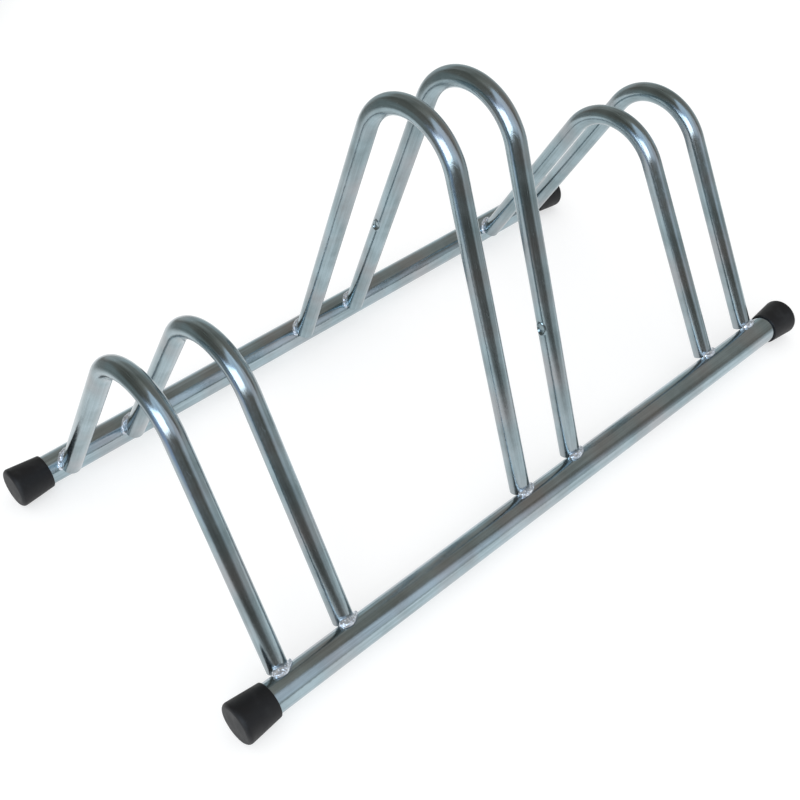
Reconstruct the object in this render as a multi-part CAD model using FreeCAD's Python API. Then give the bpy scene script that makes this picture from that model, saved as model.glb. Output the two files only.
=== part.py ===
# Floor bike rack: two floor rails, three pairs of bent tube hoops welded across them, rubber rail caps.
# Millimetres. X runs along the rails, Y from the front rail to the rear rail, Z up from the floor.
# The origin is on the floor, under the middle of the rack.
import FreeCAD
import Part
import math
import os

# Floor rails
rail_diameter = 30.0
rail_wall = 1.5
rail_spacing = 350.0        # between the two rail centre lines
rail_end_margin = 21.0      # from the middle of the last hoop to the lip of the cap

# Hoops
hoop_diameter = 20.0
hoop_wall = 1.5
bend_radius = 59.0          # of the tube's centre line at the top of a hoop
low_hoop_height = 257.0     # top of the tube above the floor
tall_hoop_height = 379.0
wheel_slot_width = 53.0     # clear space between the two hoops of a pair
pair_pitch = 297.0          # between the middles of neighbouring pairs
leg_inset = 10.0            # leg centre lines pass this far inside the rail centre lines
foot_reach = 14.0           # from a rail's centre line to the square cut end of a leg

# Pressed dimples in one tall hoop
dimple_diameter = 13.0
dimple_depth = 2.5
dimple_height = 165.0       # above the floor

# Rubber caps
cap_lip_wall = 2.0
cap_flare = 3.0             # how much the foot stands out past the lip
cap_length = 36.0
cap_end_wall = 6.0
cap_foot_round = 4.0
cap_lip_chamfer = 0.8

# Weld beads
weld_radius = 3.2
weld_rise = 1.0             # the bead's middle lies this far up the leg from the rail's surface
weld_start_turn = -50.0     # degrees round the leg from its outer side, positive to the right from outside
weld_end_turn = 98.0
weld_line_points = 7

# Clearance between pieces that seat on each other
seat_gap = 0.05

# Worked out from the sizes above
rail_radius = rail_diameter / 2
hoop_radius = hoop_diameter / 2
cap_lip_radius = rail_radius + cap_lip_wall
cap_foot_radius = cap_lip_radius + cap_flare
rail_height = cap_foot_radius
cap_bore_depth = cap_length - cap_end_wall
hoop_spacing = wheel_slot_width + hoop_diameter
lip_distance = pair_pitch + hoop_spacing / 2 + rail_end_margin
rail_length = 2 * (lip_distance + cap_bore_depth - seat_gap)

along_x = FreeCAD.Vector(1, 0, 0)
rail_side = {"front": -1, "rear": 1}
rack_end = {"left": -1, "right": 1}


def rail_y(side):
    return side * rail_spacing / 2


def bend_centre_height(hoop_height):
    return hoop_height - hoop_radius - bend_radius


def leg_lean(hoop_height):
    """Angle between a leg and the vertical, for a bend that is tangent to both legs."""
    half_span = rail_spacing / 2
    rise = bend_centre_height(hoop_height) - rail_height
    reach = math.hypot(half_span, rise)
    return math.acos((leg_inset + bend_radius) / reach) - math.atan2(rise, half_span)


def leg_point(x, side, hoop_height, inward, up):
    """A point given by its distances from the rail's centre line, square to the leg and along it."""
    lean = leg_lean(hoop_height)
    towards_middle = inward * math.cos(lean) + up * math.sin(lean)
    height = rail_height - inward * math.sin(lean) + up * math.cos(lean)
    return FreeCAD.Vector(x, rail_y(side) - side * towards_middle, height)


def leg_direction(side, hoop_height):
    lean = leg_lean(hoop_height)
    return FreeCAD.Vector(0, -side * math.sin(lean), math.cos(lean))


def bend_point(x, side, hoop_height, from_level):
    """A point on the bend's centre line, at an angle above the level through the bend's centre."""
    y = side * bend_radius * math.cos(from_level)
    z = bend_centre_height(hoop_height) + bend_radius * math.sin(from_level)
    return FreeCAD.Vector(x, y, z)


def hoop_path(x, hoop_height, end):
    """Centre line of a hoop: leg, bend, leg. The legs end at a distance from the rail centre lines."""
    lean = leg_lean(hoop_height)
    front_foot = leg_point(x, -1, hoop_height, leg_inset, end)
    rear_foot = leg_point(x, 1, hoop_height, leg_inset, end)
    front_tangent = bend_point(x, -1, hoop_height, lean)
    rear_tangent = bend_point(x, 1, hoop_height, lean)
    top = bend_point(x, 1, hoop_height, math.pi / 2)
    edges = [
        Part.LineSegment(front_foot, front_tangent).toShape(),
        Part.Arc(front_tangent, top, rear_tangent).toShape(),
        Part.LineSegment(rear_tangent, rear_foot).toShape(),
    ]
    return Part.Wire(edges)


def bent_rod(x, hoop_height, radius, end):
    path = hoop_path(x, hoop_height, end)
    foot = leg_point(x, -1, hoop_height, leg_inset, end)
    section = Part.Circle(foot, leg_direction(-1, hoop_height), radius)
    return path.makePipeShell([Part.Wire([section.toShape()])], True, False)


def rail_rod(side, radius, length):
    start = FreeCAD.Vector(-length / 2, rail_y(side), rail_height)
    return Part.makeCylinder(radius, length, start, along_x)


def make_rail(side):
    outside = rail_rod(side, rail_radius, rail_length)
    bore = rail_rod(side, rail_radius - rail_wall, rail_length + 2 * rail_wall)
    return outside.cut(bore)


def dimple_ball(x, side, hoop_height, extra):
    """A ball that presses into the leg's left side; extra makes it larger for the wall's inner face."""
    lean = leg_lean(hoop_height)
    ball_radius = (dimple_diameter ** 2 / 4 + dimple_depth ** 2) / (2 * dimple_depth)
    up = (dimple_height - rail_height + leg_inset * math.sin(lean)) / math.cos(lean)
    on_leg = leg_point(x, side, hoop_height, leg_inset, up)
    centre = on_leg - along_x * (hoop_radius - dimple_depth + ball_radius)
    return Part.makeSphere(ball_radius + extra, centre)


def make_hoop(x, hoop_height, dimpled):
    outside = bent_rod(x, hoop_height, hoop_radius, foot_reach)
    bore = bent_rod(x, hoop_height, hoop_radius - hoop_wall, foot_reach - hoop_diameter)
    if dimpled:
        for side in rail_side.values():
            outside = outside.cut(dimple_ball(x, side, hoop_height, 0))
            bore = bore.cut(dimple_ball(x, side, hoop_height, hoop_wall))
    hoop = outside.cut(bore)
    for side in rail_side.values():
        hoop = hoop.cut(rail_rod(side, rail_radius + seat_gap, rail_length))
    return hoop


def weld_point(x, side, hoop_height, turn):
    """A point where the leg's surface meets the rail's: turn is the angle round the leg."""
    ring_radius = hoop_radius + seat_gap
    across = -side * ring_radius * math.sin(turn)
    inward = leg_inset - ring_radius * math.cos(turn)
    up = math.sqrt(max(rail_radius ** 2 - inward ** 2, 0)) + weld_rise
    return leg_point(x + across, side, hoop_height, inward, up)


def make_weld(x, side, hoop_height):
    """A bead laid along the saddle line, from the outer side of a leg's foot round to its right."""
    step = (weld_end_turn - weld_start_turn) / (weld_line_points - 1)
    turns = [math.radians(weld_start_turn + step * i) for i in range(weld_line_points)]
    points = [weld_point(x, side, hoop_height, turn) for turn in turns]
    line = Part.BSplineCurve()
    line.interpolate(points)
    start_direction = line.tangent(line.FirstParameter)[0]
    section = Part.Circle(points[0], start_direction, weld_radius)
    path = Part.Wire([line.toShape()])
    bead = path.makePipeShell([Part.Wire([section.toShape()])], True, False)
    foot = leg_point(x, side, hoop_height, leg_inset, foot_reach - seat_gap)
    leg_up = leg_direction(side, hoop_height)
    leg_rod = Part.makeCylinder(hoop_radius + seat_gap, 2 * hoop_diameter, foot, leg_up)
    return bead.cut(leg_rod).cut(rail_rod(side, rail_radius + seat_gap, rail_length))


def make_cap(side, end):
    """A tapered cap that closes a rail's end: turned about the rail's centre line."""
    lip = FreeCAD.Vector(end * lip_distance, rail_y(side), rail_height)

    def place(out, radius):
        return lip + FreeCAD.Vector(end * out, 0, radius)

    # The side wall runs from the lip's chamfer, tangent to the round at the foot's edge
    round_out = cap_length - cap_foot_round
    round_up = cap_foot_radius - cap_foot_round
    wall_out = round_out - cap_lip_chamfer
    wall_up = round_up - cap_lip_radius
    taper = math.atan2(wall_up, wall_out) + math.asin(cap_foot_round / math.hypot(wall_out, wall_up))

    def on_round(angle):
        out = round_out + cap_foot_round * math.cos(angle)
        return place(out, round_up + cap_foot_round * math.sin(angle))

    side_end = on_round(math.pi / 2 + taper)
    foot_round = Part.Arc(side_end, on_round(math.pi / 4), on_round(0)).toShape()
    inner_corners = [
        place(cap_length, round_up),
        place(cap_length, 0),
        place(cap_bore_depth, 0),
        place(cap_bore_depth, rail_radius + seat_gap),
        place(0, rail_radius + seat_gap),
        place(0, cap_lip_radius - cap_lip_chamfer),
        place(cap_lip_chamfer, cap_lip_radius),
        side_end,
    ]
    outline = Part.Wire([foot_round] + Part.makePolygon(inner_corners).Edges)
    return Part.Face(outline).revolve(lip, along_x, 360)


def make_rack():
    """Every sub-part of the rack, by name."""
    parts = {}
    for side_name, side in rail_side.items():
        parts[side_name + "_rail"] = make_rail(side)
        for end_name, end in rack_end.items():
            parts[side_name + "_" + end_name + "_cap"] = make_cap(side, end)
    pairs = [("left", -1, low_hoop_height), ("middle", 0, tall_hoop_height), ("right", 1, low_hoop_height)]
    for pair_name, place, height in pairs:
        for end_name, end in rack_end.items():
            x = place * pair_pitch + end * hoop_spacing / 2
            name = pair_name + "_pair_" + end_name
            dimpled = pair_name == "middle" and end_name == "right"
            parts[name + "_hoop"] = make_hoop(x, height, dimpled)
            for side_name, side in rail_side.items():
                parts[name + "_" + side_name + "_weld"] = make_weld(x, side, height)
    return parts


os.makedirs("parts", exist_ok=True)
for part_name, shape in make_rack().items():
    shape.exportStep("parts/" + part_name + ".step")
    print(part_name, "solids", len(shape.Solids), "valid", shape.isValid(), "volume", round(shape.Volume))
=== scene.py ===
# Looks of a floor bike rack: zinc plated tube hoops welded across two rails that end in rubber caps
import math
import bmesh
import bpy
from mathutils import Matrix, Vector


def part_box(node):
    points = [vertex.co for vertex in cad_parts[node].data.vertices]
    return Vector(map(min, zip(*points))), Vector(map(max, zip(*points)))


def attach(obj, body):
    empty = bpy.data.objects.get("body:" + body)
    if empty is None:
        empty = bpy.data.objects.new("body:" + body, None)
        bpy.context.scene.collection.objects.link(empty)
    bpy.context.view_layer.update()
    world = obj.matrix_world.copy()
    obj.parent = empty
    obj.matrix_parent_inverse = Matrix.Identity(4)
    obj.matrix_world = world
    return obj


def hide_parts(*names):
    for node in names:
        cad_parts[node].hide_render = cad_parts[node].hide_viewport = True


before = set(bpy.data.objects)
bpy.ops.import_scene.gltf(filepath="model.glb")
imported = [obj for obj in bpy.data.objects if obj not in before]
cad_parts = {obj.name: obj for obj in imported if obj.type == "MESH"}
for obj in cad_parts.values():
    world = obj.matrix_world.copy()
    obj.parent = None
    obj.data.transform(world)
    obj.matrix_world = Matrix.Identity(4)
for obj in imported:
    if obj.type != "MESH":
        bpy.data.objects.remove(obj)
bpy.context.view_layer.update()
print("frame loaded:", len(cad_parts), "nodes")

mm = 0.001
bodyName = "root"
sides = {"front": -1, "rear": 1}
ends = {"left": -1, "right": 1}
pairs = ("left", "middle", "right")


# Small helpers for node trees. A value is either a socket, which is linked, or a plain number.
def plug(tree, value, socket):
    if isinstance(value, bpy.types.NodeSocket):
        tree.links.new(value, socket)
    else:
        socket.default_value = value


def addNode(tree, kind, inputs=None, **settings):
    node = tree.nodes.new(kind)
    for name, value in settings.items():
        setattr(node, name, value)
    for name, value in (inputs or {}).items():
        plug(tree, value, node.inputs[name])
    return node


def calc(tree, operation, *values):
    node = tree.nodes.new("ShaderNodeMath")
    node.operation = operation
    for value, socket in zip(values, node.inputs):
        plug(tree, value, socket)
    return node.outputs[0]


def vectorCalc(tree, operation, *values):
    node = tree.nodes.new("ShaderNodeVectorMath")
    node.operation = operation
    for value, socket in zip(values, node.inputs):
        plug(tree, value, socket)
    return node.outputs["Value" if operation in ("LENGTH", "DISTANCE", "DOT_PRODUCT") else "Vector"]


def remap(tree, value, fromMin, fromMax, toMin, toMax):
    node = addNode(tree, "ShaderNodeMapRange", {
        "Value": value, "From Min": fromMin, "From Max": fromMax, "To Min": toMin, "To Max": toMax})
    return node.outputs["Result"]


def mixColor(tree, share, first, second):
    node = addNode(tree, "ShaderNodeMix", data_type="RGBA")
    plug(tree, share, node.inputs["Factor"])
    plug(tree, first, node.inputs["A"])
    plug(tree, second, node.inputs["B"])
    return node.outputs["Result"]


def newGroup(name, kind, inputs, outputs):
    tree = bpy.data.node_groups.new(name, kind)
    for label, socketType, value in inputs:
        socket = tree.interface.new_socket(label, in_out="INPUT", socket_type=socketType)
        if value is not None:
            socket.default_value = value
    for label, socketType in outputs:
        tree.interface.new_socket(label, in_out="OUTPUT", socket_type=socketType)
    return tree, tree.nodes.new("NodeGroupInput").outputs, tree.nodes.new("NodeGroupOutput").inputs


def placeGroup(tree, group, inputs):
    node = tree.nodes.new("ShaderNodeGroup")
    node.node_tree = group
    for name, value in inputs.items():
        plug(tree, value, node.inputs[name])
    return node.outputs


def color(red, green, blue):
    return (red, green, blue, 1.0)


# Shader groups that several finishes share
grainSettings = {
    "streakSqueeze": (0.02, 1.0, 1.0),     # along the tube, and across it
    "scratchSqueeze": (0.12, 1.0, 1.0),
    "scratchTurn": (0.2, 0.35, 0.15),
    "scratchPatches": 0.7,                 # scale of the noise that keeps or drops scratches, against theirs
    "scratchFade": 0.12,
}


def makeGrainGroup():
    tree, given, result = newGroup("surfaceGrain", "ShaderNodeTree", [
        ("Vector", "NodeSocketVector", None),
        ("Grain Scale", "NodeSocketFloat", 900.0),
        ("Stretch", "NodeSocketFloat", 12.0),
        ("Cloud Scale", "NodeSocketFloat", 30.0),
        ("Streak Scale", "NodeSocketFloat", 420.0),
    ], [("Grain", "NodeSocketFloat"), ("Cloud", "NodeSocketFloat"), ("Streak", "NodeSocketFloat")])
    squeeze = calc(tree, "DIVIDE", 1.0, given["Stretch"])
    factors = addNode(tree, "ShaderNodeCombineXYZ", {"X": squeeze, "Y": 1.0, "Z": 1.0})
    drawn = vectorCalc(tree, "MULTIPLY", given["Vector"], factors.outputs["Vector"])
    grain = addNode(tree, "ShaderNodeTexNoise", {
        "Vector": drawn, "Scale": given["Grain Scale"], "Detail": 3.0, "Roughness": 0.6})
    cloud = addNode(tree, "ShaderNodeTexNoise", {
        "Vector": given["Vector"], "Scale": given["Cloud Scale"], "Detail": 4.0, "Roughness": 0.55})
    lengthwise = vectorCalc(tree, "MULTIPLY", given["Vector"], grainSettings["streakSqueeze"])
    streak = addNode(tree, "ShaderNodeTexNoise", {
        "Vector": lengthwise, "Scale": given["Streak Scale"], "Detail": 3.0, "Roughness": 0.65})
    plug(tree, grain.outputs["Fac"], result["Grain"])
    plug(tree, cloud.outputs["Fac"], result["Cloud"])
    plug(tree, streak.outputs["Fac"], result["Streak"])
    return tree


def makeScratchGroup():
    # Thin lines along the edges of long Voronoi cells, kept only where a slow noise is high
    tree, given, result = newGroup("hairScratches", "ShaderNodeTree", [
        ("Vector", "NodeSocketVector", None),
        ("Scale", "NodeSocketFloat", 120.0),
        ("Width", "NodeSocketFloat", 0.02),
        ("Amount", "NodeSocketFloat", 0.5),
    ], [("Mask", "NodeSocketFloat")])
    turned = addNode(tree, "ShaderNodeMapping", {
        "Vector": given["Vector"], "Rotation": grainSettings["scratchTurn"],
        "Scale": grainSettings["scratchSqueeze"]})
    cells = addNode(tree, "ShaderNodeTexVoronoi", {
        "Vector": turned.outputs["Vector"], "Scale": given["Scale"]}, feature="DISTANCE_TO_EDGE")
    line = calc(tree, "SUBTRACT", 1.0, calc(tree, "DIVIDE", cells.outputs["Distance"], given["Width"]))
    line = calc(tree, "MAXIMUM", line, 0.0)
    patchScale = calc(tree, "MULTIPLY", given["Scale"], grainSettings["scratchPatches"])
    patches = addNode(tree, "ShaderNodeTexNoise", {
        "Vector": given["Vector"], "Scale": patchScale, "Detail": 2.0})
    start = calc(tree, "SUBTRACT", 1.0, given["Amount"])
    end = calc(tree, "ADD", start, grainSettings["scratchFade"])
    share = remap(tree, patches.outputs["Fac"], start, end, 0.0, 1.0)
    plug(tree, calc(tree, "MULTIPLY", line, share), result["Mask"])
    return tree


grainGroup = makeGrainGroup()
scratchGroup = makeScratchGroup()


# Finishes. A range says between which values of its noise a change takes place; scales are per metre.
zincFinish = {
    "pale": color(0.360, 0.455, 0.495),
    "deep": color(0.225, 0.290, 0.310),
    "paleRange": (0.38, 0.62),
    "warm": color(0.375, 0.355, 0.360),
    "warmth": 0.6,
    "warmRange": (0.45, 0.70),
    "smooth": 0.13,
    "rough": 0.24,
    "roughRange": (0.35, 0.65),
    "grainScale": 1100.0,
    "stretch": 4.0,
    "streakDepth": 0.5,
    "cloudScale": 26.0,
    "patchScale": 16.0,
    "scratchScale": 170.0,
    "scratchRough": 0.08,
    "scratchDepth": 0.4,
    "bump": 0.19,
    "bumpDistance": 0.2 * mm,
}
railFinish = dict(zincFinish, pale=color(0.415, 0.520, 0.570), deep=color(0.270, 0.340, 0.365),
                  warm=color(0.425, 0.400, 0.405), smooth=0.11, rough=0.17)
hoopFinish = dict(zincFinish, grainScale=1300.0, cloudScale=34.0)

weldFinish = {
    "pale": color(0.82, 0.87, 0.94),
    "deep": color(0.52, 0.56, 0.62),
    "paleRange": (0.35, 0.65),
    "smooth": 0.12,
    "rough": 0.24,
    "roughRange": (0.3, 0.7),
    "grainScale": 1800.0,
    "cloudScale": 260.0,
    "metallic": 0.75,            # the rest is the dull skin of zinc paint over the bead
    "bump": 0.25,
    "bumpDistance": 0.15 * mm,
}

rubberFinish = {
    "black": color(0.0060, 0.0062, 0.0075),
    "worn": color(0.020, 0.021, 0.022),
    "wornRange": (0.5, 0.8),
    "smooth": 0.45,
    "rough": 0.65,
    "roughRange": (0.3, 0.7),
    "specular": 0.35,
    "grainScale": 1500.0,
    "cloudScale": 70.0,
    "scratchScale": 260.0,
    "scratchAmount": 0.42,
    "bump": 0.16,
    "bumpDistance": 0.3 * mm,
}


def newMaterial(name):
    material = bpy.data.materials.new(name)
    material.use_nodes = True
    tree = material.node_tree
    return material, tree, tree.nodes["Principled BSDF"]


def coverSurface(tree, shader, finish, base, rough, height):
    bump = addNode(tree, "ShaderNodeBump", {
        "Strength": finish["bump"], "Distance": finish["bumpDistance"], "Height": height})
    plug(tree, base, shader.inputs["Base Color"])
    plug(tree, rough, shader.inputs["Roughness"])
    plug(tree, bump.outputs["Normal"], shader.inputs["Normal"])


def evenMarks(tree, coord, finish):
    # Grain and clouds that run the same way in every direction
    return placeGroup(tree, grainGroup, {
        "Vector": coord, "Grain Scale": finish["grainScale"], "Stretch": 1.0,
        "Cloud Scale": finish["cloudScale"]})


def makeZinc(name, finish):
    # Drawn tube: everything runs along tubeCoord, which is the tube laid out straight
    material, tree, shader = newMaterial(name)
    coord = addNode(tree, "ShaderNodeAttribute", attribute_name="tubeCoord").outputs["Vector"]
    marks = placeGroup(tree, grainGroup, {
        "Vector": coord, "Grain Scale": finish["grainScale"], "Stretch": finish["stretch"],
        "Cloud Scale": finish["cloudScale"]})
    scratches = placeGroup(tree, scratchGroup, {"Vector": coord, "Scale": finish["scratchScale"]})["Mask"]
    patches = addNode(tree, "ShaderNodeTexNoise", {
        "Vector": coord, "Scale": finish["patchScale"], "Detail": 2.0})
    paleShare = calc(tree, "MULTIPLY", calc(tree, "ADD", marks["Cloud"], marks["Streak"]), 0.5)
    paleShare = remap(tree, paleShare, *finish["paleRange"], 0.0, 1.0)
    base = mixColor(tree, paleShare, finish["deep"], finish["pale"])
    warmShare = remap(tree, patches.outputs["Fac"], *finish["warmRange"], 0.0, finish["warmth"])
    base = mixColor(tree, warmShare, base, finish["warm"])
    roughShare = calc(tree, "MULTIPLY", calc(tree, "ADD", marks["Grain"], marks["Streak"]), 0.5)
    rough = remap(tree, roughShare, *finish["roughRange"], finish["smooth"], finish["rough"])
    rough = calc(tree, "ADD", rough, calc(tree, "MULTIPLY", scratches, finish["scratchRough"]))
    height = calc(tree, "ADD", marks["Grain"], calc(tree, "MULTIPLY", marks["Streak"], finish["streakDepth"]))
    height = calc(tree, "SUBTRACT", height, calc(tree, "MULTIPLY", scratches, finish["scratchDepth"]))
    coverSurface(tree, shader, finish, base, rough, height)
    shader.inputs["Metallic"].default_value = 1.0
    return material


def makeWeldZinc(name, finish):
    material, tree, shader = newMaterial(name)
    coord = addNode(tree, "ShaderNodeTexCoord").outputs["Object"]
    marks = evenMarks(tree, coord, finish)
    paleShare = remap(tree, marks["Cloud"], *finish["paleRange"], 0.0, 1.0)
    base = mixColor(tree, paleShare, finish["deep"], finish["pale"])
    rough = remap(tree, marks["Cloud"], *finish["roughRange"], finish["rough"], finish["smooth"])
    coverSurface(tree, shader, finish, base, rough, marks["Grain"])
    shader.inputs["Metallic"].default_value = finish["metallic"]
    return material


def makeRubber(name, finish):
    material, tree, shader = newMaterial(name)
    coord = addNode(tree, "ShaderNodeTexCoord").outputs["Object"]
    marks = evenMarks(tree, coord, finish)
    scratches = placeGroup(tree, scratchGroup, {
        "Vector": coord, "Scale": finish["scratchScale"], "Amount": finish["scratchAmount"]})["Mask"]
    wornShare = remap(tree, marks["Cloud"], *finish["wornRange"], 0.0, 1.0)
    wornShare = calc(tree, "MAXIMUM", wornShare, scratches)
    base = mixColor(tree, wornShare, finish["black"], finish["worn"])
    rough = remap(tree, marks["Cloud"], *finish["roughRange"], finish["smooth"], finish["rough"])
    coverSurface(tree, shader, finish, base, rough, marks["Grain"])
    shader.inputs["Specular IOR Level"].default_value = finish["specular"]
    return material


railZinc = makeZinc("railZinc", railFinish)
hoopZinc = makeZinc("hoopZinc", hoopFinish)
weldZinc = makeWeldZinc("weldZinc", weldFinish)
rubber = makeRubber("capRubber", rubberFinish)
print("materials made")


# Geometry Nodes
def setModifierInputs(modifier, values):
    for item in modifier.node_group.interface.items_tree:
        if item.in_out == "INPUT" and item.name in values:
            modifier[item.identifier] = values[item.name]


def grow(name, mesh, group, values, wall=0.0):
    # Runs a tree on a mesh and keeps the plain mesh that comes out
    piece = bpy.data.objects.new(name, mesh)
    bpy.context.collection.objects.link(piece)
    modifier = piece.modifiers.new("grow", "NODES")
    modifier.node_group = group
    setModifierInputs(modifier, values)
    if wall:
        skin = piece.modifiers.new("wall", "SOLIDIFY")
        skin.thickness = wall
        skin.offset = -1.0
        skin.use_even_offset = True
    graph = bpy.context.evaluated_depsgraph_get()
    piece.data = bpy.data.meshes.new_from_object(piece.evaluated_get(graph))
    piece.data.name = name
    piece.modifiers.clear()
    return piece


def paintResult(tree, geometry, material, socket):
    # The end of each tree
    real = addNode(tree, "GeometryNodeRealizeInstances", {"Geometry": geometry})
    painted = addNode(tree, "GeometryNodeSetMaterial", {
        "Geometry": real.outputs["Geometry"], "Material": material})
    plug(tree, painted.outputs["Geometry"], socket)


def finishPiece(piece, node, sharpAngle=40.0):
    # Edges sharper than the angle, in degrees, stay crisp
    piece.data.shade_smooth()
    piece.data.set_sharp_from_angle(angle=math.radians(sharpAngle))
    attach(piece, bodyName)
    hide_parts(node)
    return piece


def camel(node):
    first, *rest = node.split("_")
    return first + "".join(word.capitalize() for word in rest)


def pathMesh(name, points):
    mesh = bpy.data.meshes.new(name)
    mesh.from_pydata(points, [(i, i + 1) for i in range(len(points) - 1)], [])
    return mesh


def makeTubeTree():
    # A round section swept along the path; tubeCoord keeps where each point lies on the straight tube
    tree, given, result = newGroup("sweptTube", "GeometryNodeTree", [
        ("Path", "NodeSocketGeometry", None),
        ("Radius", "NodeSocketFloat", 0.01),
        ("Sides", "NodeSocketInt", 96),
        ("Front Dimple", "NodeSocketVector", None),
        ("Rear Dimple", "NodeSocketVector", None),
        ("Dimple Depth", "NodeSocketFloat", 0.0),
        ("Dimple Ball", "NodeSocketFloat", 0.01),
        ("Dimple Shoulder", "NodeSocketFloat", 0.0005),
        ("Burr Height", "NodeSocketFloat", 0.0),
        ("Burr Width", "NodeSocketFloat", 0.0005),
        ("Material", "NodeSocketMaterial", None),
    ], [("Tube", "NodeSocketGeometry")])
    path = addNode(tree, "GeometryNodeMeshToCurve", {"Mesh": given["Path"]})
    along = addNode(tree, "GeometryNodeCaptureAttribute", {"Geometry": path.outputs["Curve"]})
    along.capture_items.new("FLOAT", "Along")
    plug(tree, addNode(tree, "GeometryNodeSplineParameter").outputs["Length"], along.inputs["Along"])
    ring = addNode(tree, "GeometryNodeCurvePrimitiveCircle", {
        "Resolution": given["Sides"], "Radius": given["Radius"]})
    around = addNode(tree, "GeometryNodeCaptureAttribute", {"Geometry": ring.outputs["Curve"]})
    around.capture_items.new("VECTOR", "Around")
    plug(tree, addNode(tree, "GeometryNodeInputPosition").outputs["Position"], around.inputs["Around"])
    sweep = addNode(tree, "GeometryNodeCurveToMesh", {
        "Curve": along.outputs["Geometry"], "Profile Curve": around.outputs["Geometry"]})

    aroundParts = addNode(tree, "ShaderNodeSeparateXYZ", {"Vector": around.outputs["Around"]})
    straight = addNode(tree, "ShaderNodeCombineXYZ", {
        "X": along.outputs["Along"], "Y": aroundParts.outputs["X"], "Z": aroundParts.outputs["Y"]})
    named = addNode(tree, "GeometryNodeStoreNamedAttribute", data_type="FLOAT_VECTOR", domain="POINT")
    plug(tree, sweep.outputs["Mesh"], named.inputs["Geometry"])
    plug(tree, "tubeCoord", named.inputs["Name"])
    plug(tree, straight.outputs["Vector"], named.inputs["Value"])

    # Each dimple is a ball pressed into the side that faces -X, with a burr where it meets the tube
    ballEdge = 0.98              # share of the ball's section, squared, in which it presses
    position = addNode(tree, "GeometryNodeInputPosition").outputs["Position"]
    here = addNode(tree, "ShaderNodeSeparateXYZ", {"Vector": position})
    newX = here.outputs["X"]
    for label in ("Front Dimple", "Rear Dimple"):
        spot = addNode(tree, "ShaderNodeSeparateXYZ", {"Vector": given[label]})
        offset = vectorCalc(tree, "SUBTRACT", position, given[label])
        flat = vectorCalc(tree, "MULTIPLY", offset, (0.0, 1.0, 1.0))
        squared = vectorCalc(tree, "DOT_PRODUCT", flat, flat)
        ballSquared = calc(tree, "MULTIPLY", given["Dimple Ball"], given["Dimple Ball"])
        reach = calc(tree, "SQRT", calc(tree, "MAXIMUM", calc(tree, "SUBTRACT", ballSquared, squared), 0.0))
        depthPlace = calc(tree, "SUBTRACT", given["Dimple Depth"], given["Dimple Ball"])
        ballX = calc(tree, "ADD", calc(tree, "ADD", spot.outputs["X"], depthPlace), reach)
        pressed = calc(tree, "SMOOTH_MAX", newX, ballX, given["Dimple Shoulder"])
        isDeep = calc(tree, "GREATER_THAN", given["Dimple Depth"], 0.0)
        isNear = calc(tree, "LESS_THAN", squared, calc(tree, "MULTIPLY", ballSquared, ballEdge))
        axisX = calc(tree, "ADD", spot.outputs["X"], given["Radius"])
        isSide = calc(tree, "LESS_THAN", here.outputs["X"], axisX)
        share = calc(tree, "MULTIPLY", calc(tree, "MULTIPLY", isDeep, isNear), isSide)
        fromRim = calc(tree, "DIVIDE", calc(tree, "SUBTRACT", ballX, here.outputs["X"]), given["Burr Width"])
        burr = calc(tree, "EXPONENT", calc(tree, "MULTIPLY", calc(tree, "MULTIPLY", fromRim, fromRim), -1.0))
        pressed = calc(tree, "SUBTRACT", pressed, calc(tree, "MULTIPLY", burr, given["Burr Height"]))
        change = calc(tree, "MULTIPLY", calc(tree, "SUBTRACT", pressed, newX), share)
        newX = calc(tree, "ADD", newX, change)
    moved = addNode(tree, "ShaderNodeCombineXYZ", {
        "X": newX, "Y": here.outputs["Y"], "Z": here.outputs["Z"]})
    press = addNode(tree, "GeometryNodeSetPosition", {
        "Geometry": named.outputs["Geometry"], "Position": moved.outputs["Vector"]})

    smooth = addNode(tree, "GeometryNodeSetShadeSmooth", {"Geometry": press.outputs["Geometry"]})
    paintResult(tree, smooth.outputs["Geometry"], given["Material"], result["Tube"])
    return tree


tubeTree = makeTubeTree()


# Rails
railSettings = {
    "wall": 1.5 * mm,
    "sides": 128,
    "ringStep": 12 * mm,
}


def boxSize(node):
    low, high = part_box(node)
    return high - low


def boxMiddle(node):
    low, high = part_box(node)
    return (low + high) / 2


railRadius = boxSize("front_rail").z / 2
railHeight = boxMiddle("front_rail").z
railReach = (boxMiddle("rear_rail").y - boxMiddle("front_rail").y) / 2


def makeRail(sideName):
    node = sideName + "_rail"
    low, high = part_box(node)
    middle = boxMiddle(node)
    count = round((high.x - low.x) / railSettings["ringStep"])
    step = (high.x - low.x) / count
    points = [(low.x + i * step, middle.y, middle.z) for i in range(count + 1)]
    piece = grow(camel(node), pathMesh(node, points), tubeTree, {
        "Radius": railRadius, "Sides": railSettings["sides"], "Material": railZinc}, railSettings["wall"])
    return finishPiece(piece, node)


for sideName in sides:
    makeRail(sideName)
print("rails made")


# Hoops
hoopSettings = {
    "bendRadius": 59 * mm,       # of the centre line
    "legInset": 10 * mm,         # leg centre lines pass this far inside the rail centre lines
    "footReach": 14 * mm,        # from a rail's centre line to the cut end of a leg
    "wall": 1.5 * mm,
    "sides": 96,
    "bendSteps": 56,
    "legStep": 14 * mm,
}

dimpleSettings = {
    "node": "middle_pair_right_hoop",
    "height": 165 * mm,
    "diameter": 13 * mm,
    "depth": 2.5 * mm,
    "shoulder": 0.5 * mm,
    "burrHeight": 0.7 * mm,
    "burrWidth": 0.7 * mm,
    "sides": 168,
    "fineStep": 0.4 * mm,        # rings are this close together round a dimple
    "fineReach": 10 * mm,
    "fineMargin": 0.1 * mm,
}


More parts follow.
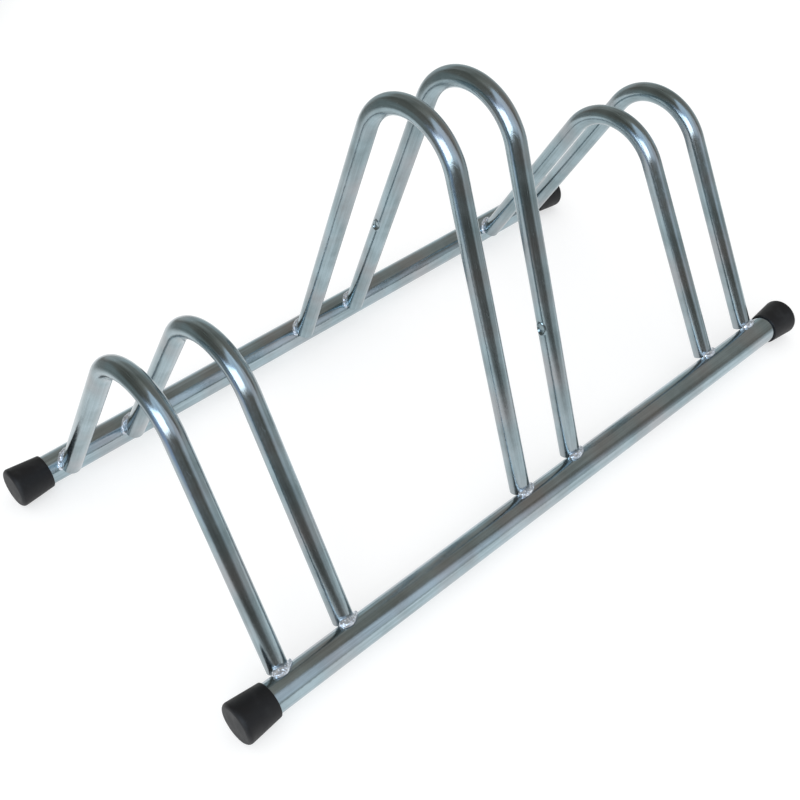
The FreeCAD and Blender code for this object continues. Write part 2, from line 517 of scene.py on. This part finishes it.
def legLean(hoopTop, hoopRadius):
    # Angle between a leg and the vertical, for a bend that is tangent to both legs
    rise = hoopTop - hoopRadius - hoopSettings["bendRadius"] - railHeight
    reach = math.hypot(railReach, rise)
    leanFromRail = math.acos((hoopSettings["legInset"] + hoopSettings["bendRadius"]) / reach)
    return leanFromRail - math.atan2(rise, railReach)


def legPoint(x, side, lean, inward, up):
    # Distances are square to the leg and along it, from the rail's centre line
    towardsMiddle = inward * math.cos(lean) + up * math.sin(lean)
    height = railHeight - inward * math.sin(lean) + up * math.cos(lean)
    return Vector((x, side * (railReach - towardsMiddle), height))


def dimpleUp(lean):
    drop = hoopSettings["legInset"] * math.sin(lean)
    return (dimpleSettings["height"] - railHeight + drop) / math.cos(lean)


def legStops(length, fineMiddle):
    # Distances along a leg at which the tube has a ring
    stops = [hoopSettings["footReach"]]
    while stops[-1] < length:
        isFine = fineMiddle is not None and abs(stops[-1] - fineMiddle) < dimpleSettings["fineReach"]
        step = dimpleSettings["fineStep"] if isFine else hoopSettings["legStep"]
        if not isFine and fineMiddle is not None and stops[-1] < fineMiddle:
            fineStart = fineMiddle - dimpleSettings["fineReach"] + dimpleSettings["fineMargin"]
            step = min(step, fineStart - stops[-1])
        stops.append(stops[-1] + max(step, dimpleSettings["fineStep"]))
    stops[-1] = length
    return stops


def hoopPoints(x, lean, bendHeight, fineMiddle):
    inset = hoopSettings["legInset"]
    radius = hoopSettings["bendRadius"]
    bendStart = Vector((x, -radius * math.cos(lean), bendHeight + radius * math.sin(lean)))
    foot = legPoint(x, -1, lean, inset, 0.0)
    length = (bendStart - foot).length
    stops = legStops(length, fineMiddle)
    front = [legPoint(x, -1, lean, inset, stop) for stop in stops]
    rear = [legPoint(x, 1, lean, inset, stop) for stop in reversed(stops)]
    bend = []
    count = hoopSettings["bendSteps"]
    for i in range(1, count):
        angle = math.pi - lean - (math.pi - 2 * lean) * i / count
        bend.append(Vector((x, radius * math.cos(angle), bendHeight + radius * math.sin(angle))))
    return front + bend + rear


def makeHoop(node):
    size = boxSize(node)
    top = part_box(node)[1].z
    x = boxMiddle(node).x
    tubeRadius = size.x / 2
    lean = legLean(top, tubeRadius)
    hasDimples = node == dimpleSettings["node"]
    fineMiddle = dimpleUp(lean) if hasDimples else None
    bendHeight = top - tubeRadius - hoopSettings["bendRadius"]
    points = hoopPoints(x, lean, bendHeight, fineMiddle)
    values = {"Radius": tubeRadius, "Sides": hoopSettings["sides"], "Material": hoopZinc}
    if hasDimples:
        depth = dimpleSettings["depth"]
        half = dimpleSettings["diameter"] / 2
        for side, label in ((-1, "Front Dimple"), (1, "Rear Dimple")):
            spot = legPoint(x, side, lean, hoopSettings["legInset"], fineMiddle)
            values[label] = spot - Vector((tubeRadius, 0, 0))
        values["Dimple Depth"] = depth
        values["Dimple Ball"] = (half ** 2 + depth ** 2) / (2 * depth)
        values["Dimple Shoulder"] = dimpleSettings["shoulder"]
        values["Burr Height"] = dimpleSettings["burrHeight"]
        values["Burr Width"] = dimpleSettings["burrWidth"]
        values["Sides"] = dimpleSettings["sides"]
    piece = grow(camel(node), pathMesh(node, points), tubeTree, values, hoopSettings["wall"])
    return finishPiece(piece, node)


hoopNodes = [pair + "_pair_" + end + "_hoop" for pair in pairs for end in ends]
for node in hoopNodes:
    makeHoop(node)
print("hoops made:", len(hoopNodes))


# Weld beads: a fillet laid along the line where a leg's surface meets the rail's, then roughened
weldSettings = {
    # Turns are in degrees round the leg from its outer side, positive to the right seen from outside
    "startTurn": -50.0,
    "endTurn": 90.0,
    "upLeg": 3.4 * mm,
    "alongRail": 4.7 * mm,
    "bury": 0.6 * mm,            # how deep the hidden side lies in the metal
    "roundEnd": 3.0 * mm,
    "tipSize": 0.05,             # how thick its very tips are, against the rest
    "startSwell": {"left": 1.62, "middle": 1.30, "right": 1.22},   # how much thicker it starts, by pair
    "startPlace": 5.0 * mm,
    "startRun": 8.0 * mm,
    "endSize": 0.66,             # and how much thinner it runs out
    "steps": 130,
    "sectionSteps": 18,
    "crown": 0.85,               # under 1 is fuller, over 1 is hollow
    "sharpAngle": 60.0,
}

rippleSettings = {
    "Ripple Pitch": 1.8 * mm,
    "Ripple Height": 0.34 * mm,
    "Ripple Bow": 0.9,
    "Lump Size": 4.0 * mm,
    "Lump Height": 1.1 * mm,
    "Facet Size": 2.3 * mm,
    "Facet Height": 0.9 * mm,
    "Crater Place": 5.2 * mm,
    "Crater Radius": 1.3 * mm,
    "Crater Depth": 1.1 * mm,
}

beadForm = {
    "lumpRange": (0.25, 0.75),
    "lumpSpan": (-0.5, 1.0),
    "facetMiddle": 0.5,
    "wobble": 0.5,               # how far a lump shifts the ripples
    "rippleFall": 2.0,
    "rippleFront": 6.0,          # how steeply each ripple starts
    "rippleSoftness": 0.2,
    "craterFall": 3.0,           # how fast the crater ends below the bead's crown
}


def weldRoot(x, side, lean, hoopRadius, turn):
    across = -side * hoopRadius * math.sin(turn)
    inward = hoopSettings["legInset"] - hoopRadius * math.cos(turn)
    up = math.sqrt(max(railRadius ** 2 - inward ** 2, 0.0))
    return legPoint(x + across, side, lean, inward, up)


def weldSection(tangent, legOut, railOut):
    # Corners of one section: up the leg, over the crown, down to the rail, and back inside the metal
    upLeg = tangent.cross(legOut).normalized()
    if upLeg.dot(railOut) < 0:
        upLeg.negate()
    awayOnRail = tangent.cross(railOut).normalized()
    if awayOnRail.dot(legOut) < 0:
        awayOnRail.negate()
    corners = []
    count = weldSettings["sectionSteps"]
    for i in range(count + 1):
        angle = math.pi / 2 * i / count
        onLeg = weldSettings["upLeg"] * math.cos(angle) ** weldSettings["crown"] if i < count else 0.0
        onRail = weldSettings["alongRail"] * math.sin(angle) ** weldSettings["crown"]
        corners.append((onLeg * upLeg + onRail * awayOnRail, math.sin(2 * angle)))
    bury = weldSettings["bury"]
    corners.append((weldSettings["alongRail"] * awayOnRail - bury * railOut, 0.0))
    corners.append((-bury * (railOut + legOut), 0.0))
    corners.append((weldSettings["upLeg"] * upLeg - bury * legOut, 0.0))
    return corners


def weldMesh(name, x, side, lean, hoopRadius, startSwell):
    steps = weldSettings["steps"]
    start = math.radians(weldSettings["startTurn"])
    step = math.radians(weldSettings["endTurn"] - weldSettings["startTurn"]) / steps
    turns = [start + step * i for i in range(steps + 1)]
    roots = [weldRoot(x, side, lean, hoopRadius, turn) for turn in turns]
    lengths = [0.0]
    for first, second in zip(roots, roots[1:]):
        lengths.append(lengths[-1] + (second - first).length)
    outward = legPoint(x, side, lean, -1.0, 0.0) - legPoint(x, side, lean, 0.0, 0.0)
    axis = Vector((0, side * railReach, railHeight))
    build = bmesh.new()
    beadLength = build.verts.layers.float.new("beadLength")
    beadLift = build.verts.layers.float.new("beadLift")
    rings = []
    for i, (turn, middle) in enumerate(zip(turns, roots)):
        tangent = (roots[min(i + 1, steps)] - roots[max(i - 1, 0)]).normalized()
        legOut = Vector((-side * math.sin(turn), 0, 0)) + math.cos(turn) * outward
        railOut = middle - axis
        railOut.x = 0.0
        railOut.normalize()
        fromEnd = min(lengths[i], lengths[-1] - lengths[i]) / weldSettings["roundEnd"]
        swell = math.sqrt(max(1 - (1 - min(fromEnd, 1.0)) ** 2, 0.0))
        fromStart = (lengths[i] - weldSettings["startPlace"]) / weldSettings["startRun"]
        thickness = 1 - (1 - weldSettings["endSize"]) * lengths[i] / lengths[-1]
        thickness += (startSwell - 1) * math.exp(-fromStart ** 2)
        ring = []
        for corner, lift in weldSection(tangent, legOut, railOut):
            vert = build.verts.new(middle + corner * thickness * max(swell, weldSettings["tipSize"]))
            vert[beadLength] = lengths[i]
            vert[beadLift] = lift * swell
            ring.append(vert)
        rings.append(ring)
    count = len(rings[0])
    for first, second in zip(rings, rings[1:]):
        for j in range(count):
            k = (j + 1) % count
            build.faces.new((first[j], first[k], second[k], second[j]))
    build.faces.new(rings[0])
    build.faces.new(list(reversed(rings[-1])))
    bmesh.ops.recalc_face_normals(build, faces=build.faces)
    mesh = bpy.data.meshes.new(name)
    build.to_mesh(mesh)
    build.free()
    return mesh


def makeBeadTree():
    # Ripples bow across the bead one after another, slow lumps and small facets make it uneven,
    # and a crater marks where the bead was started
    tree, given, result = newGroup("weldRipples", "GeometryNodeTree", [
        ("Bead", "NodeSocketGeometry", None),
        ("Ripple Pitch", "NodeSocketFloat", 0.002),
        ("Ripple Height", "NodeSocketFloat", 0.0003),
        ("Ripple Bow", "NodeSocketFloat", 1.0),
        ("Lump Size", "NodeSocketFloat", 0.004),
        ("Lump Height", "NodeSocketFloat", 0.0005),
        ("Facet Size", "NodeSocketFloat", 0.0015),
        ("Facet Height", "NodeSocketFloat", 0.0005),
        ("Crater Place", "NodeSocketFloat", 0.005),
        ("Crater Radius", "NodeSocketFloat", 0.001),
        ("Crater Depth", "NodeSocketFloat", 0.001),
        ("Seed", "NodeSocketFloat", 0.0),
        ("Material", "NodeSocketMaterial", None),
    ], [("Bead", "NodeSocketGeometry")])
    length = addNode(tree, "GeometryNodeInputNamedAttribute", {"Name": "beadLength"}).outputs["Attribute"]
    lift = addNode(tree, "GeometryNodeInputNamedAttribute", {"Name": "beadLift"}).outputs["Attribute"]
    position = addNode(tree, "GeometryNodeInputPosition").outputs["Position"]
    lumps = addNode(tree, "ShaderNodeTexNoise", {
        "Vector": position, "W": given["Seed"], "Scale": calc(tree, "DIVIDE", 1.0, given["Lump Size"]),
        "Detail": 1.5}, noise_dimensions="4D")
    lump = remap(tree, lumps.outputs["Fac"], *beadForm["lumpRange"], *beadForm["lumpSpan"])
    facets = addNode(tree, "ShaderNodeTexVoronoi", {
        "Vector": position, "W": given["Seed"], "Scale": calc(tree, "DIVIDE", 1.0, given["Facet Size"])},
        voronoi_dimensions="4D")
    facet = calc(tree, "SUBTRACT", beadForm["facetMiddle"], facets.outputs["Distance"])

    turns = calc(tree, "DIVIDE", length, given["Ripple Pitch"])
    bow = calc(tree, "MULTIPLY", lift, given["Ripple Bow"])
    wobble = calc(tree, "MULTIPLY", lump, beadForm["wobble"])
    phase = calc(tree, "FRACT", calc(tree, "ADD", calc(tree, "ADD", turns, bow), wobble))
    ripple = calc(tree, "SUBTRACT", 1.0, calc(tree, "POWER", phase, beadForm["rippleFall"]))
    front = calc(tree, "MULTIPLY", phase, beadForm["rippleFront"])
    front = calc(tree, "SMOOTH_MIN", front, 1.0, beadForm["rippleSoftness"])
    ripple = calc(tree, "MULTIPLY", ripple, front)

    beside = calc(tree, "SUBTRACT", length, given["Crater Place"])
    beside = calc(tree, "DIVIDE", beside, given["Crater Radius"])
    below = calc(tree, "MULTIPLY", calc(tree, "SUBTRACT", 1.0, lift), beadForm["craterFall"])
    far = calc(tree, "ADD", calc(tree, "MULTIPLY", beside, beside), calc(tree, "MULTIPLY", below, below))
    crater = calc(tree, "EXPONENT", calc(tree, "MULTIPLY", far, -1.0))

    height = calc(tree, "MULTIPLY", ripple, given["Ripple Height"])
    height = calc(tree, "ADD", height, calc(tree, "MULTIPLY", lump, given["Lump Height"]))
    height = calc(tree, "ADD", height, calc(tree, "MULTIPLY", facet, given["Facet Height"]))
    height = calc(tree, "SUBTRACT", height, calc(tree, "MULTIPLY", crater, given["Crater Depth"]))
    push = calc(tree, "MULTIPLY", height, lift)
    normal = addNode(tree, "GeometryNodeInputNormal").outputs["Normal"]
    scaled = addNode(tree, "ShaderNodeVectorMath", {"Vector": normal, "Scale": push}, operation="SCALE")
    press = addNode(tree, "GeometryNodeSetPosition", {
        "Geometry": given["Bead"], "Offset": scaled.outputs["Vector"]})
    paintResult(tree, press.outputs["Geometry"], given["Material"], result["Bead"])
    return tree


beadTree = makeBeadTree()


def makeWeld(hoopNode, sideName, seed):
    node = hoopNode.replace("_hoop", "_" + sideName + "_weld")
    hoopRadius = boxSize(hoopNode).x / 2
    lean = legLean(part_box(hoopNode)[1].z, hoopRadius)
    startSwell = weldSettings["startSwell"][hoopNode.split("_")[0]]
    mesh = weldMesh(node, boxMiddle(hoopNode).x, sides[sideName], lean, hoopRadius, startSwell)
    values = dict(rippleSettings, Seed=float(seed), Material=weldZinc)
    piece = grow(camel(node), mesh, beadTree, values)
    return finishPiece(piece, node, weldSettings["sharpAngle"])


seed = 1
for hoopNode in hoopNodes:
    for sideName in sides:
        makeWeld(hoopNode, sideName, seed)
        seed += 1
print("welds made:", seed - 1)


# Rubber caps
capSettings = {
    "lipWall": 2.0 * mm,
    "endWall": 6.0 * mm,
    "lipRound": 0.8 * mm,
    "footRound": 4.0 * mm,
    "boreGap": 0.05 * mm,
    "sides": 96,
    "roundSteps": 12,
    "wallSteps": 14,
    "faceRings": (0.75, 0.5, 0.25),        # radii of the rings in the flat foot, against the foot's own
}


def arcPoints(middle, radius, start, end, count):
    return [(middle[0] + radius * math.cos(start + (end - start) * i / count),
             middle[1] + radius * math.sin(start + (end - start) * i / count)) for i in range(count + 1)]


def capProfile(length, footRadius):
    # (distance out from the lip, radius), from the bore's floor round the lip to the middle of the foot
    lipRadius = railRadius + capSettings["lipWall"]
    boreRadius = railRadius + capSettings["boreGap"]
    lipRound = capSettings["lipRound"]
    footRound = capSettings["footRound"]
    footMiddle = (length - footRound, footRadius - footRound)
    lipMiddle = (lipRound, lipRadius - lipRound)
    rise = footMiddle[1] - lipMiddle[1]
    taper = math.atan2(rise, footMiddle[0] - lipMiddle[0])
    taper += math.asin((footRound - lipRound) / math.hypot(footMiddle[0] - lipMiddle[0], rise))
    steps = capSettings["roundSteps"]
    depth = length - capSettings["endWall"]
    inner = [(depth, 0.0), (depth, boreRadius / 2), (depth, boreRadius), (depth / 2, boreRadius)]
    inner.append((0.0, boreRadius))
    lip = arcPoints(lipMiddle, lipRound, math.pi, math.pi / 2 + taper, steps)
    foot = arcPoints(footMiddle, footRound, math.pi / 2 + taper, 0.0, 2 * steps)
    wallCount = capSettings["wallSteps"]
    wall = []
    for i in range(1, wallCount):
        share = i / wallCount
        wall.append(tuple(a + (b - a) * share for a, b in zip(lip[-1], foot[0])))
    face = [(length, footMiddle[1] * share) for share in capSettings["faceRings"]]
    return inner + lip + wall + foot + face + [(length, 0.0)]


def makeCap(sideName, endName):
    node = sideName + "_" + endName + "_cap"
    low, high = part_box(node)
    middle = boxMiddle(node)
    end = ends[endName]
    lipX = low.x if end > 0 else high.x
    profile = capProfile(high.x - low.x, (high.z - low.z) / 2)
    build = bmesh.new()
    count = capSettings["sides"]
    rings = []
    for out, radius in profile:
        x = lipX + end * out
        ring = []
        for i in range(count if radius else 1):        # one point closes the middle
            angle = 2 * math.pi * i / count
            y = middle.y + radius * math.cos(angle)
            z = middle.z + radius * math.sin(angle)
            ring.append(build.verts.new((x, y, z)))
        rings.append(ring)
    for first, second in zip(rings, rings[1:]):
        for i in range(count):
            corners = [first[i % len(first)], first[(i + 1) % count % len(first)]]
            corners += [second[(i + 1) % count % len(second)], second[i % len(second)]]
            build.faces.new(list(dict.fromkeys(corners)))
    bmesh.ops.recalc_face_normals(build, faces=build.faces)
    mesh = bpy.data.meshes.new(node)
    build.to_mesh(mesh)
    build.free()
    mesh.materials.append(rubber)
    piece = bpy.data.objects.new(camel(node), mesh)
    bpy.context.collection.objects.link(piece)
    return finishPiece(piece, node)


for sideName in sides:
    for endName in ends:
        makeCap(sideName, endName)
print("caps made")


# Floor, light and camera
floorSettings = {
    "radius": 30.0,
    "sides": 96,
    "color": color(0.50, 0.50, 0.50),
    "lift": 0.58,                # plain light added where the floor is seen, so that it shows white
    # The white part is a painted pool of light, a soft-edged patch, in metres along and across the camera's
    # line of sight
    "near": -0.46,
    "far": 1.10,
    "nearHalfWidth": 0.37,
    "farHalfWidth": 0.62,
    "widenRun": 1.0,             # how far from the near edge the patch goes on widening
    "fade": 0.30,
}

# Directions are in degrees: azimuth from +Y towards +X, elevation above the floor
windowSettings = {
    "azimuth": -112.0,
    "elevation": 23.0,
    "distance": 4.0,
    "size": (4.0, 1.8),
    "turn": 38.0,
    "brightness": 3.5,
    "color": (0.84, 0.93, 1.0),
}

roomSettings = {
    "evenLight": color(0.86, 0.86, 0.86),      # on everything that isn't a mirror
    "walls": color(0.190, 0.174, 0.150),
    "ceiling": color(0.46, 0.43, 0.38),
    "ceilingStart": 50.0,                       # elevation from which the walls turn into the ceiling
    "edge": 8.0,                                # softness of the edges of the panels
    # What metal shows of the room, each over the ones before it
    "panels": {
        "rightWall": {"azimuth": 62.0, "halfWidth": 66.0, "elevation": 20.0, "halfHeight": 38.0,
                      "tilt": 0.0, "color": color(0.36, 0.34, 0.31)},
        "rightSweep": {"azimuth": 58.0, "halfWidth": 60.0, "elevation": 0.0, "halfHeight": 20.0,
                       "tilt": 0.0, "color": color(0.56, 0.60, 0.60)},
        "leftSweep": {"azimuth": -46.0, "halfWidth": 36.0, "elevation": -6.0, "halfHeight": 17.0,
                      "tilt": 0.0, "color": color(0.30, 0.32, 0.31)},
        "frontWall": {"azimuth": -158.0, "halfWidth": 54.0, "elevation": 62.0, "halfHeight": 40.0,
                      "tilt": 0.0, "color": color(0.94, 1.08, 1.24)},
        "cornerWall": {"azimuth": 157.0, "halfWidth": 16.0, "elevation": 20.0, "halfHeight": 38.0,
                       "tilt": 0.0, "color": color(0.80, 0.82, 0.88)},
        "frontSweep": {"azimuth": 150.0, "halfWidth": 34.0, "elevation": -6.0, "halfHeight": 14.0,
                       "tilt": 0.0, "color": color(0.58, 0.60, 0.60)},
        "windowGlow": {"azimuth": -109.0, "halfWidth": 31.0, "elevation": 24.0, "halfHeight": 15.0,
                       "tilt": -0.75, "color": color(0.50, 0.68, 1.0)},
        "darkCorner": {"azimuth": -146.0, "halfWidth": 40.0, "elevation": -1.0, "halfHeight": 9.0,
                       "tilt": 0.0, "color": color(0.16, 0.15, 0.14)},
    },
}

cameraSettings = {
    "azimuth": 44.02,            # 0 looks along +Y, 90 along +X
    "elevation": 43.10,
    "roll": 1.14,
    "target": (-0.0879, -0.0460, 0.1000),
    "distance": 1.1113,
    "lens": 52.73,
    "sensorWidth": 36.0,
    "clipStart": 0.05,
    "clipEnd": 50.0,
}


def directionTo(azimuth, elevation):
    flat = math.cos(math.radians(elevation))
    return Vector((flat * math.sin(math.radians(azimuth)), flat * math.cos(math.radians(azimuth)),
                   math.sin(math.radians(elevation))))


def makePanelGroup():
    # 1 inside a panel on the sphere round the rack, falling to 0 over its soft edge
    tree, given, result = newGroup("softPanel", "ShaderNodeTree", [
        ("Azimuth", "NodeSocketFloat", 0.0),
        ("Elevation", "NodeSocketFloat", 0.0),
        ("Panel Azimuth", "NodeSocketFloat", 0.0),
        ("Panel Elevation", "NodeSocketFloat", 0.0),
        ("Half Width", "NodeSocketFloat", 30.0),
        ("Half Height", "NodeSocketFloat", 15.0),
        ("Tilt", "NodeSocketFloat", 0.0),
        ("Edge", "NodeSocketFloat", 8.0),
    ], [("Mask", "NodeSocketFloat")])
    across = calc(tree, "SUBTRACT", given["Azimuth"], given["Panel Azimuth"])
    across = calc(tree, "WRAP", across, 180.0, -180.0)
    rise = calc(tree, "MULTIPLY", across, given["Tilt"])
    above = calc(tree, "SUBTRACT", given["Elevation"], calc(tree, "ADD", given["Panel Elevation"], rise))
    masks = []
    for offset, half in ((across, given["Half Width"]), (above, given["Half Height"])):
        inside = calc(tree, "SUBTRACT", half, calc(tree, "ABSOLUTE", offset))
        outerEdge = calc(tree, "MULTIPLY", given["Edge"], -1.0)
        masks.append(addNode(tree, "ShaderNodeMapRange", {
            "Value": inside, "From Min": outerEdge, "From Max": given["Edge"]},
            interpolation_type="SMOOTHSTEP").outputs["Result"])
    plug(tree, calc(tree, "MULTIPLY", *masks), result["Mask"])
    return tree


def makeRoomGroup():
    # The colour of the room in each direction from the rack
    tree, given, result = newGroup("studioRoom", "ShaderNodeTree", [
        ("Direction", "NodeSocketVector", None),
    ], [("Color", "NodeSocketColor")])
    panelGroup = makePanelGroup()
    parts = addNode(tree, "ShaderNodeSeparateXYZ", {"Vector": given["Direction"]}).outputs
    azimuth = calc(tree, "DEGREES", calc(tree, "ARCTAN2", parts["X"], parts["Y"]))
    elevation = calc(tree, "DEGREES", calc(tree, "ARCSINE", parts["Z"]))
    height = remap(tree, elevation, roomSettings["ceilingStart"], 90.0, 0.0, 1.0)
    shown = mixColor(tree, height, roomSettings["walls"], roomSettings["ceiling"])
    for panel in roomSettings["panels"].values():
        mask = placeGroup(tree, panelGroup, {
            "Azimuth": azimuth, "Elevation": elevation,
            "Panel Azimuth": panel["azimuth"], "Panel Elevation": panel["elevation"],
            "Half Width": panel["halfWidth"], "Half Height": panel["halfHeight"],
            "Tilt": panel["tilt"], "Edge": roomSettings["edge"]})["Mask"]
        shown = mixColor(tree, mask, shown, panel["color"])
    plug(tree, shown, result["Color"])
    return tree


def seenDirectly(tree):
    # 1 for the camera and for what metal or glass shows of the surroundings, 0 for the light on a surface
    rays = addNode(tree, "ShaderNodeLightPath").outputs
    seen = calc(tree, "MAXIMUM", rays["Is Camera Ray"], rays["Is Glossy Ray"])
    return calc(tree, "MAXIMUM", seen, rays["Is Transmission Ray"])


def paintedLightPool(tree, place):
    # Painted pool of light: 1 on the part of the floor round the rack that the camera sees, which widens away
    # from the camera
    ahead = directionTo(cameraSettings["azimuth"], 0.0)
    aside = directionTo(cameraSettings["azimuth"] + 90.0, 0.0)
    along = vectorCalc(tree, "DOT_PRODUCT", place, ahead)
    across = calc(tree, "ABSOLUTE", vectorCalc(tree, "DOT_PRODUCT", place, aside))
    halfWidth = remap(tree, along, floorSettings["near"], floorSettings["near"] + floorSettings["widenRun"],
                      floorSettings["nearHalfWidth"], floorSettings["farHalfWidth"])
    depths = [calc(tree, "SUBTRACT", along, floorSettings["near"]),
              calc(tree, "SUBTRACT", floorSettings["far"], along),
              calc(tree, "SUBTRACT", halfWidth, across)]
    patch = 1.0
    for depth in depths:
        inside = addNode(tree, "ShaderNodeMapRange", {
            "Value": depth, "From Min": -floorSettings["fade"], "From Max": 0.0},
            interpolation_type="SMOOTHSTEP").outputs["Result"]
        patch = calc(tree, "MULTIPLY", patch, inside)
    return patch


def makeFloor(roomGroup):
    build = bmesh.new()
    bmesh.ops.create_circle(build, cap_ends=True, segments=floorSettings["sides"],
                            radius=floorSettings["radius"])
    mesh = bpy.data.meshes.new("floor")
    build.to_mesh(mesh)
    build.free()
    floor = bpy.data.objects.new("floor", mesh)
    bpy.context.collection.objects.link(floor)
    material, tree, shader = newMaterial("paleFloor")
    plug(tree, floorSettings["color"], shader.inputs["Base Color"])
    shader.inputs["Roughness"].default_value = 1.0
    shader.inputs["Specular IOR Level"].default_value = 0.0
    seen = seenDirectly(tree)
    strength = calc(tree, "MULTIPLY", seen, floorSettings["lift"])
    lift = addNode(tree, "ShaderNodeEmission", {"Strength": strength})
    near = addNode(tree, "ShaderNodeAddShader")
    tree.links.new(shader.outputs["BSDF"], near.inputs[0])
    tree.links.new(lift.outputs["Emission"], near.inputs[1])
    # Far from the rack, outside the painted pool of light, the floor runs into the room's colour at the same
    # azimuth, with no line between them
    place = addNode(tree, "ShaderNodeTexCoord").outputs["Object"]
    room = placeGroup(tree, roomGroup, {"Direction": vectorCalc(tree, "NORMALIZE", place)})["Color"]
    farFloor = addNode(tree, "ShaderNodeEmission", {"Color": room})
    far = calc(tree, "SUBTRACT", 1.0, paintedLightPool(tree, place))
    blend = addNode(tree, "ShaderNodeMixShader", {"Fac": calc(tree, "MULTIPLY", far, seen)})
    tree.links.new(near.outputs["Shader"], blend.inputs[1])
    tree.links.new(farFloor.outputs["Emission"], blend.inputs[2])
    tree.links.new(blend.outputs["Shader"], tree.nodes["Material Output"].inputs["Surface"])
    mesh.materials.append(material)


def makeWindow():
    lamp = bpy.data.lights.new("window", "AREA")
    lamp.shape = "RECTANGLE"
    lamp.size, lamp.size_y = windowSettings["size"]
    lamp.energy = windowSettings["brightness"] * math.pi * lamp.size * lamp.size_y
    lamp.color = windowSettings["color"]
    holder = bpy.data.objects.new("window", lamp)
    direction = directionTo(windowSettings["azimuth"], windowSettings["elevation"])
    facing = direction.to_track_quat("Z", "Y").to_matrix().to_4x4()
    turn = Matrix.Rotation(math.radians(windowSettings["turn"]), 4, "Z")
    holder.matrix_world = Matrix.Translation(direction * windowSettings["distance"]) @ facing @ turn
    bpy.context.collection.objects.link(holder)


def makeWorld(roomGroup):
    world = bpy.data.worlds.new("studio")
    bpy.context.scene.world = world
    world.use_nodes = True
    tree = world.node_tree
    direction = addNode(tree, "ShaderNodeTexCoord").outputs["Generated"]
    room = placeGroup(tree, roomGroup, {"Direction": direction})["Color"]
    shown = mixColor(tree, seenDirectly(tree), roomSettings["evenLight"], room)
    plug(tree, shown, tree.nodes["Background"].inputs["Color"])


def makeCamera():
    data = bpy.data.cameras.new("camera")
    data.lens = cameraSettings["lens"]
    data.sensor_width = cameraSettings["sensorWidth"]
    data.clip_start = cameraSettings["clipStart"]
    data.clip_end = cameraSettings["clipEnd"]
    camera = bpy.data.objects.new("camera", data)
    toCamera = -directionTo(cameraSettings["azimuth"], -cameraSettings["elevation"])
    turn = toCamera.to_track_quat("Z", "Y").to_matrix().to_4x4()
    roll = Matrix.Rotation(math.radians(cameraSettings["roll"]), 4, "Z")
    place = Vector(cameraSettings["target"]) + toCamera * cameraSettings["distance"]
    camera.matrix_world = Matrix.Translation(place) @ turn @ roll
    bpy.context.collection.objects.link(camera)
    bpy.context.scene.camera = camera


roomGroup = makeRoomGroup()
makeFloor(roomGroup)
makeWindow()
makeWorld(roomGroup)
makeCamera()
bpy.context.scene.view_settings.view_transform = "Standard"
print("stage ready")
